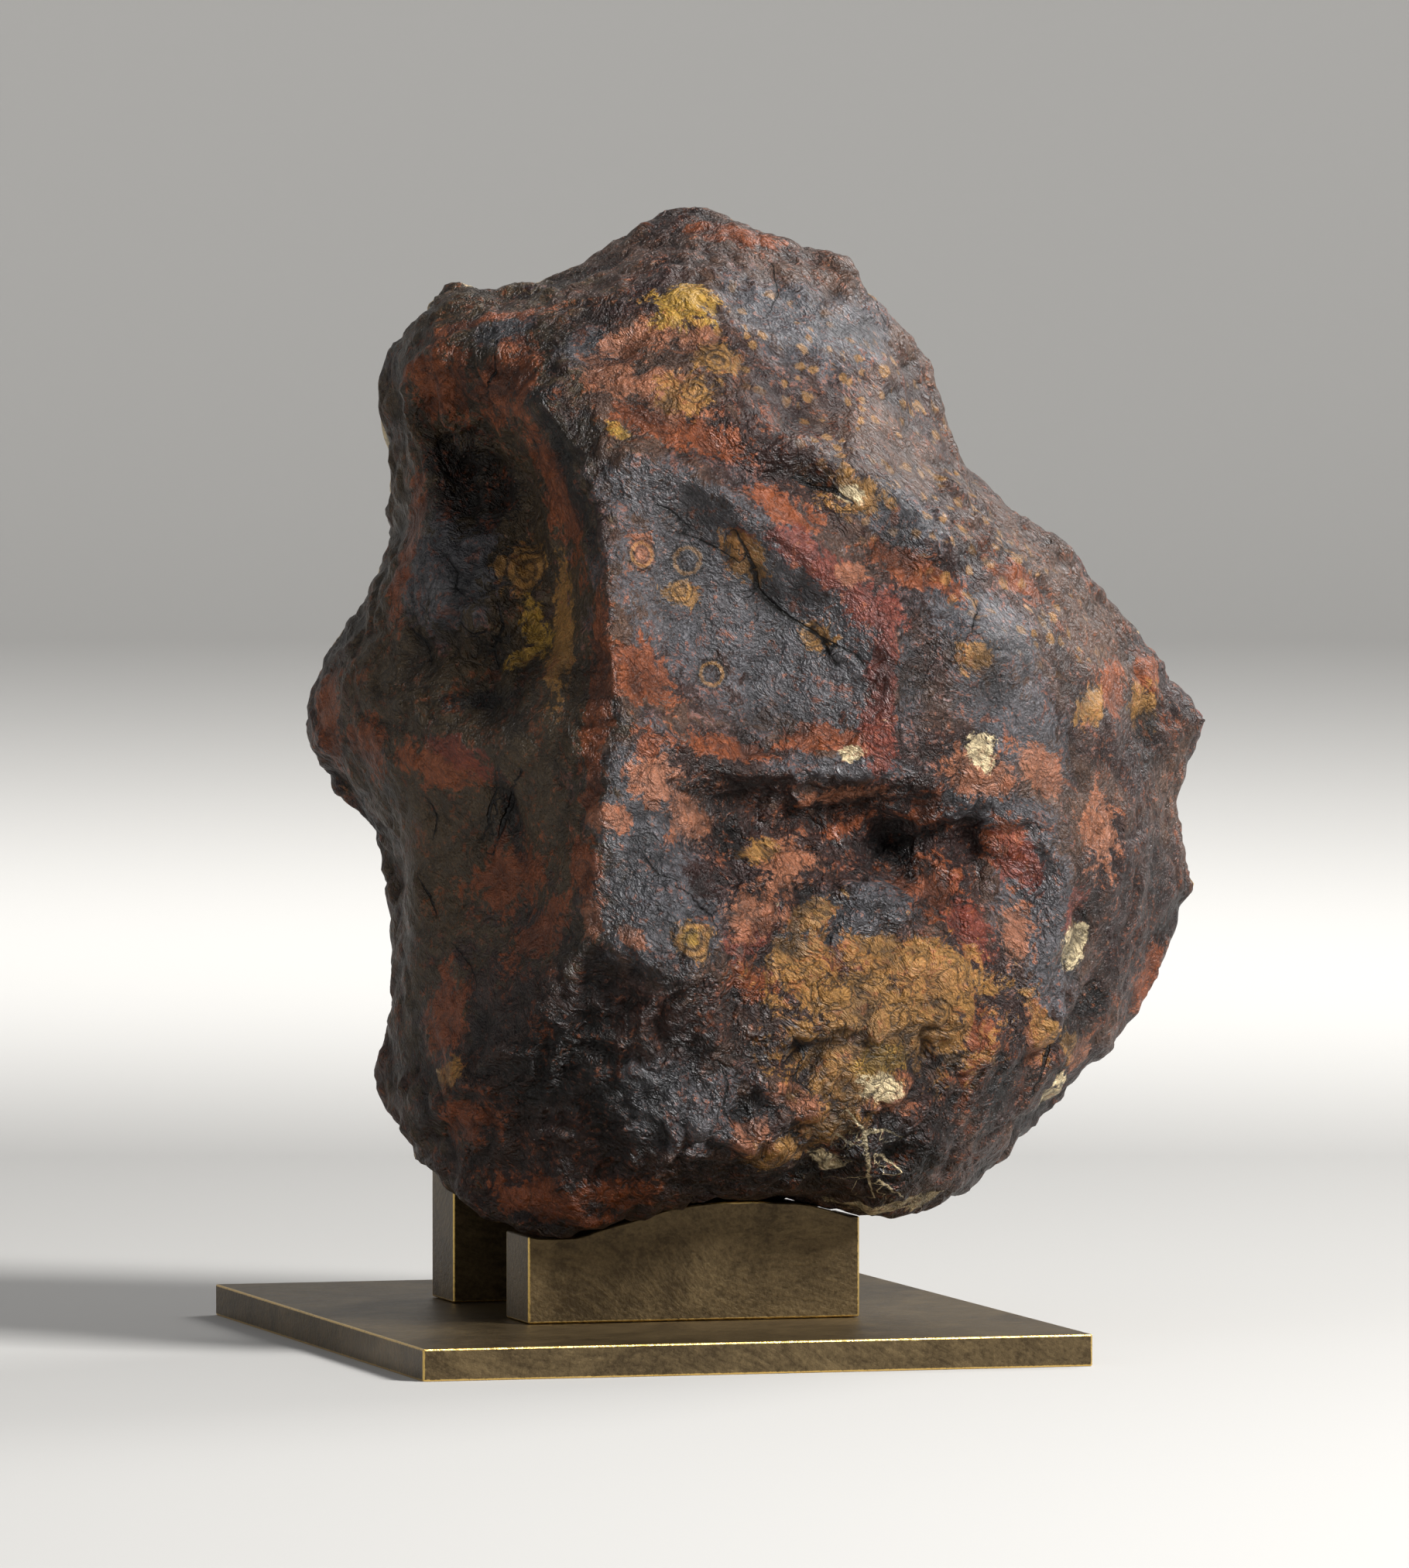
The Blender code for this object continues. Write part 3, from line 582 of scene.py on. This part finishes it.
def make_stone_mesh(settings):
    mesh = skin_over("meteorite", settings.skin_step)
    skin = Skin(mesh)
    rough = rough_values(skin)
    cracks = skin.lines(CRACKS)
    heights = relief(skin, rough, settings)
    heights -= 0.0009 * np.exp(-np.abs(cracks) ** 2 / 3.0)
    low, high = (np.array(corner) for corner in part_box("meteorite"))
    moved = np.clip(skin.points + skin.normals * heights[:, None], low, high)
    hidden = np.clip(skin.averaged(skin.normals, 8) @ np.array(AHEAD) * 3.0 + 0.3, 0.0, 1.0)
    for number, (name, patches) in enumerate(PATCHES.items()):
        seen = skin.field(patches)
        skin.keep(name, seen + (np.maximum(seen, skin.strewn(number)) - seen) * hidden)
    skin.keep("speckle", skin.field(SPECKLE_AREAS.values()))
    skin.keep("rings", skin.rings(RINGS))
    skin.keep("rough", rough)
    skin.keep("cracks", cracks)
    skin.keep("veins", skin.lines(VEINS))
    skin.keep("height", heights / MM)
    skin.points = moved
    skin.keep("crest", skin.crest(6) / MM)
    mesh.vertices.foreach_set("co", moved.ravel())
    mesh.update()
    mesh.shade_smooth()
    return mesh


def stone_finish(settings):
    """Crust in many browns and greys, glossy and finely wrinkled, with painted shade in its pits, cracks and
    hollows.
    """
    finish = Finish("meteorite crust")
    wander = finish.warped(finish.place, 0.016, 0.008)
    flow = finish.along(FLOW, 2.2, wander)
    rough = finish.attribute("rough")
    broad = finish.noise(0.035, 3.0, 0.6, 0.3)
    grain = finish.noise(0.0016, 4.0, 0.7, 0.0, wander)
    clouds = [
        finish.noise(0.0075, 6.0, 0.68, 0.4, finish.vector("ADD", wander, (shift, 0.0, 0.0)))
        for shift in (0.0, 0.5, 1.0)
    ]

    clot = abs(finish.noise(0.0062, 3.0, 0.5, 0.5, wander) - 0.5)
    pleat = abs(finish.noise(0.0026, 4.0, 0.62, 0.5, flow) - 0.5)
    speck = finish.noise(0.0008, 2.0) - 0.5
    crack = (1.0 - abs(finish.attribute("cracks"))).rise(0.0, 0.5)
    height = clot * (1.0 + rough * 7.0) + pleat * (1.6 + rough * 3.6) + speck * 0.8 - crack * 1.5

    def patch(name, cloud, reach, soft=0.16):
        """A patch with a flecked, ragged outline, where reach grows it and soft blurs it."""
        ragged = finish.attribute(name) + (clouds[cloud] - 0.5) * 3.4 + (grain - 0.5) * 1.8
        return (ragged + reach).rise(-soft, soft)

    crust = finish.mix(broad.rise(0.4, 0.62), settings.brown, settings.maroon_and_shade)
    for name, cloud, reach, strength in (
        ("olive", 0, 0.15, 0.9), ("maroon_and_shade", 1, 0.05, 0.85), ("slate", 2, 0.0, 0.85), ("rust", 0, -0.1, 0.8),
        ("brick", 1, 0.0, 0.75), ("salmon", 2, -0.05, 0.8), ("ochre", 1, -0.05, 0.8), ("gold", 0, 0.0, 0.85),
        ("dark_mark_and_shade", 2, 0.0, 0.85), ("cream", 1, 0.1, 0.9),
    ):
        crust = finish.mix(patch(name, cloud, reach) * strength, crust, getattr(settings, name))
    fleck = (clouds[2] * 0.5 + grain * 0.5).rise(0.53, 0.6)
    crust = finish.mix(fleck * 0.5, crust, settings.rust)
    pale = (clouds[0] * 0.4 + grain * 0.6).rise(0.56, 0.62)
    crust = finish.mix(pale * 0.4 * (1.0 - finish.attribute("olive").rise(-0.2, 0.3)), crust, settings.salmon)

    dots = finish.cells(0.0056, wander)
    size = finish.noise(0.006, 1.0)
    dot = (0.12 + size * 0.5 - dots + (grain - 0.5) * 0.5).rise(0.0, 0.16)
    dot = dot * (finish.attribute("speckle") + 0.2).rise(-0.1, 0.4)
    crust = finish.mix(dot * 0.6, crust, settings.ochre)

    ring = finish.attribute("rings") + (grain - 0.5) * 0.5
    outline = (1.0 - abs(ring - 1.0) * 7.0).higher(1.0 - abs(ring - 0.5) * 7.0).rise(0.0, 0.7)
    filling = (1.0 - abs(ring - 0.75) * 6.0).rise(0.0, 0.6)
    crust = finish.mix(filling * 0.5, crust, settings.ochre)
    crust = finish.mix(outline * 0.6, crust, settings.dark_mark_and_shade)

    vein = (1.0 - abs(finish.attribute("veins") + (grain - 0.5) * 3.0)).rise(0.0, 0.5)
    crust = finish.mix(vein, crust, settings.cream)
    # Painted shade: the cracks are filled with black
    crust = finish.mix(crack * 0.95, crust, settings.dark_mark_and_shade)
    # Painted shade: the colour darkens in the low places of the relief and in the creases of the clots and pleats;
    # the grain adds a random darkening too
    hollow = finish.attribute("height").rise(-1.2, 0.6)
    crease_shade = clot.rise(0.0, 0.05) * (0.2 + rough * 0.5) + (0.8 - rough * 0.5)
    pleat_shade = pleat.rise(0.0, 0.05)
    crust = finish.shade(crust, (0.35 + hollow * 0.65) * crease_shade * (0.55 + pleat_shade * 0.35 + grain.rise(0.3, 0.7) * 0.3))

    gloss = 0.24 + grain * 0.3 + finish.attribute("ochre").rise(-0.2, 0.4) * 0.12
    normal = finish.bump(height, settings.wrinkle_height)
    finish.set(base_color=crust, roughness=gloss, normal=normal)
    finish.surface.inputs["Metallic"].default_value = 0.1
    return finish.material


class METEORITE_OT_stone(bpy.types.Operator):
    """Lays the wrinkled crust over the stone"""

    bl_idname = "meteorite.stone"
    bl_label = "Make the stone"

    def execute(self, context):
        settings = context.scene.meteorite_stone
        stone = bpy.data.objects.new("stone_crust", make_stone_mesh(settings))
        context.scene.collection.objects.link(stone)
        stone.data.materials.append(stone_finish(settings))
        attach(stone, "root")
        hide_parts("meteorite")
        return {"FINISHED"}


def bronze_finish(name, settings, low, high, sheen):
    """Aged bronze with brushed swirls, fine grain and a painted highlight: a bright line along each edge of a bar
    or a plate.
    """
    finish = Finish(name)
    parts = finish.node("ShaderNodeSeparateXYZ", {}, {0: finish.place}, 0).socket.node.outputs
    gaps = []
    for axis in range(3):
        middle = (low[axis] + high[axis]) / 2
        half = (high[axis] - low[axis]) / 2
        gaps.append(half - abs(Signal(finish, parts[axis]) - middle))
    a, b, c = gaps
    edge = a.lower(b).higher(a.higher(b).lower(c))
    grain = finish.noise(0.0011, 3.0, 0.7)
    blotch = finish.noise(0.03, 4.0, 0.6, 1.2)
    swirl = finish.along(Vector((0.8, 0.3, -0.35)), 12.0, finish.warped(finish.place, 0.09, 0.05))
    brush = finish.noise(0.0018, 3.0, 0.6, 0.2, swirl)
    tone = 0.35 + (blotch - 0.5) * 1.6 + (brush - 0.5) * 1.2 + (grain - 0.5) * 1.2
    metal = finish.mix(tone.higher(0.0).lower(1.0), settings.patina_dark, settings.patina)
    # Painted highlight: a bright gold line along every edge, with a glossier, more metallic surface there
    highlight_mask = (1.0 - edge / settings.highlight_width + (grain - 0.5) * 0.8).rise(0.0, 0.5)
    metal = finish.mix(highlight_mask, metal, settings.edge_highlight)
    finish.set(
        base_color=metal,
        roughness=sheen + (grain - 0.5) * 0.25 - highlight_mask * 0.12,
        metallic=0.7 + highlight_mask * 0.2,
        normal=finish.bump(grain * 0.5 + brush * 0.5, 0.0003),
    )
    return finish.material


class METEORITE_OT_stand(bpy.types.Operator):
    """Gives the plate and the two supports their aged bronze"""

    bl_idname = "meteorite.stand"
    bl_label = "Finish the stand"

    def execute(self, context):
        settings = context.scene.meteorite_stand
        for node in ("base_plate", "front_support", "rear_support"):
            low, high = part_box(node)
            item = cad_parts[node]
            item.data.materials.clear()
            item.data.materials.append(bronze_finish(f"aged bronze, {node}", settings, low, high, 0.42))
        return {"FINISHED"}


def make_room(settings):
    """A round studio: a flat floor that turns up into a wall, far outside the camera's path."""
    radius = settings.room_radius
    mesh = bpy.data.meshes.new("studio_floor")
    bm = bmesh.new()
    turn_up = 2.5
    profile = [(0.001, 0.0), (radius - turn_up, 0.0)]
    for step in range(1, 13):
        angle = math.pi / 2 * step / 12
        profile.append((radius - turn_up + turn_up * math.sin(angle), turn_up - turn_up * math.cos(angle)))
    profile.append((radius, turn_up + 4.0))
    verts = [bm.verts.new((x, 0.0, z)) for x, z in profile]
    edges = [bm.edges.new(pair) for pair in zip(verts, verts[1:])]
    bmesh.ops.spin(
        bm, geom=verts + edges, cent=(0, 0, 0), axis=(0, 0, 1), angle=math.tau, steps=96, use_merge=True
    )
    bmesh.ops.recalc_face_normals(bm, faces=bm.faces)
    bm.to_mesh(mesh)
    bm.free()
    mesh.shade_smooth()
    return mesh


def add_light(name, place, aim, size, power):
    lamp = bpy.data.lights.new(name, "AREA")
    lamp.size = size
    lamp.energy = power
    item = bpy.data.objects.new(name, lamp)
    turn = (aim - place).to_track_quat("-Z", "Y").to_matrix().to_4x4()
    item.matrix_world = Matrix.Translation(place) @ turn
    bpy.context.scene.collection.objects.link(item)


def add_camera():
    camera = bpy.data.cameras.new("camera")
    camera.sensor_width = SENSOR
    camera.lens = LENS
    camera.clip_end = 50.0
    item = bpy.data.objects.new("camera", camera)
    look = AHEAD * math.cos(VIEW_DIP) - UP * math.sin(VIEW_DIP)
    item.matrix_world = Matrix.Translation(EYE) @ look.to_track_quat("-Z", "Y").to_matrix().to_4x4()
    bpy.context.scene.collection.objects.link(item)
    bpy.context.scene.camera = item


class METEORITE_OT_stage(bpy.types.Operator):
    """Sets the floor, the lights and the camera"""

    bl_idname = "meteorite.stage"
    bl_label = "Set the studio"

    def execute(self, context):
        settings = context.scene.meteorite_stage
        room = bpy.data.objects.new("studio_floor", make_room(settings))
        context.scene.collection.objects.link(room)
        pale = Finish("pale floor")
        pale.set(base_color=tuple(settings.floor), roughness=0.8)
        room.data.materials.append(pale.material)
        aim = Vector((0.0, 0.0, 0.18))
        add_light("key", RIGHT * 1.5 - AHEAD * 1.0 + UP * 1.5, aim, 0.6, settings.key_power)
        add_light("fill", -RIGHT * 1.4 - AHEAD * 1.2 + UP * 0.9, aim, 1.2, settings.fill_power)
        add_light("rim", RIGHT * 1.2 + AHEAD * 1.3 + UP * 1.4, aim, 0.8, settings.rim_power)
        add_light("wall", AHEAD * 1.5 + UP * 3.0, AHEAD * 8.0 + UP * 1.5, 3.0, settings.wall_power)
        world = bpy.data.worlds.new("studio")
        world.use_nodes = True
        world.node_tree.nodes["Background"].inputs["Color"].default_value = (0.9, 0.93, 1.0, 1.0)
        world.node_tree.nodes["Background"].inputs["Strength"].default_value = 0.25
        context.scene.world = world
        context.scene.view_settings.view_transform = "Standard"
        add_camera()
        return {"FINISHED"}


class METEORITE_PT_panel(bpy.types.Panel):
    """The steps in the sidebar"""

    bl_idname = "METEORITE_PT_panel"
    bl_label = "Meteorite"
    bl_space_type = "VIEW_3D"
    bl_region_type = "UI"
    bl_category = "Meteorite"

    def draw(self, context):
        for operator in OPERATORS:
            self.layout.operator(operator.bl_idname)
        for group in SETTINGS:
            holder = getattr(context.scene, group)
            for name in holder.bl_rna.properties.keys():
                if name not in {"rna_type", "name"}:
                    self.layout.prop(holder, name)


OPERATORS = (METEORITE_OT_stone, METEORITE_OT_stand, METEORITE_OT_stage)
SETTINGS = {
    "meteorite_stone": StoneSettings,
    "meteorite_stand": StandSettings,
    "meteorite_stage": StageSettings,
}


def register():
    for item in (*SETTINGS.values(), *OPERATORS, METEORITE_PT_panel):
        bpy.utils.register_class(item)
    for name, group in SETTINGS.items():
        setattr(bpy.types.Scene, name, PointerProperty(type=group))


def unregister():
    for name in SETTINGS:
        delattr(bpy.types.Scene, name)
    for item in (METEORITE_PT_panel, *reversed(OPERATORS), *reversed(SETTINGS.values())):
        bpy.utils.unregister_class(item)


def main():
    register()
    bpy.ops.meteorite.stone()
    bpy.ops.meteorite.stand()
    bpy.ops.meteorite.stage()


if __name__ == "__main__":
    main()
